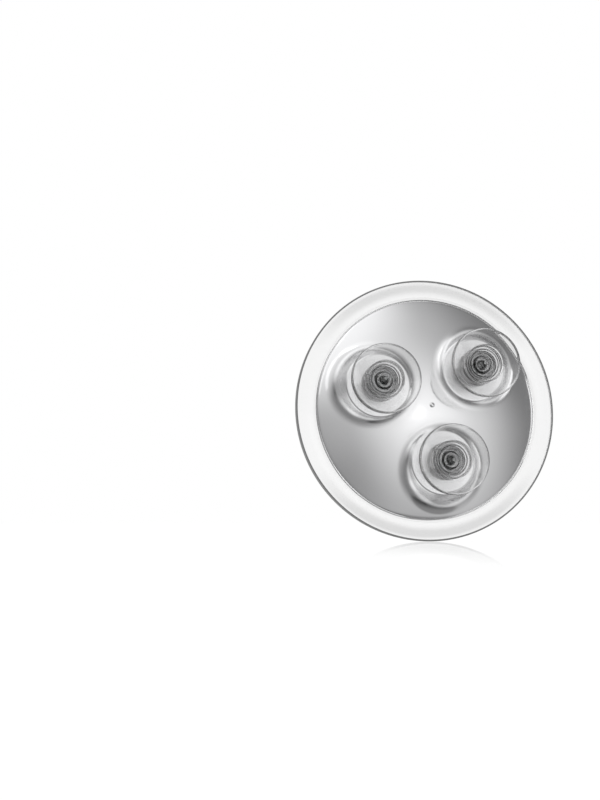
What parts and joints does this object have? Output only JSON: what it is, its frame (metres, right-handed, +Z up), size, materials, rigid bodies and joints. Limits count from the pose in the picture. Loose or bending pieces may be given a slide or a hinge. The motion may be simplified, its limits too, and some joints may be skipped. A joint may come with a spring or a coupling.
{
  "type": "suction cup magnifying mirror",
  "caption": "Round magnifying mirror in a clear ring, with a silver domed back whose flat pads carry clear suction cups that press onto a smooth wall.",
  "frame": {"origin": "on the mirror's axis, in the plane of the suction cups' lips, where the wall is", "axes": "+Y points into the wall, -Y is where the mirror looks, +Z is up as it hangs"},
  "size_m": [0.151, 0.039, 0.151],
  "materials": {
    "clear_acrylic": "polished clear acrylic",
    "silver_plastic": "glossy metallised silver",
    "mirror_glass": "silvered glass",
    "white_tape": "matte foam tape",
    "clear_soft_plastic": "clear soft vinyl, glossy"
  },
  "bodies": {
    "mirror_body": {"clear_rim": "clear_acrylic", "back_cover": "silver_plastic", "mirror_glass": "mirror_glass", "mirror_tape": "white_tape"},
    "cup_1": {"suction_cup_1": "clear_soft_plastic"},
    "cup_2": {"suction_cup_2": "clear_soft_plastic"},
    "cup_3": {"suction_cup_3": "clear_soft_plastic"}
  },
  "joints": [
    {"name": "cup_1_turn", "type": "hinge", "parent": "mirror_body", "child": "cup_1", "pos_m": [0.03038, -0.021, 0.01106], "axis": [0, 1, 0], "continuous": true},
    {"name": "cup_2_turn", "type": "hinge", "parent": "mirror_body", "child": "cup_2", "pos_m": [-0.02477, -0.021, 0.02078], "axis": [0, 1, 0], "continuous": true},
    {"name": "cup_3_turn", "type": "hinge", "parent": "mirror_body", "child": "cup_3", "pos_m": [-0.00561, -0.021, -0.03184], "axis": [0, 1, 0], "continuous": true}
  ]
}
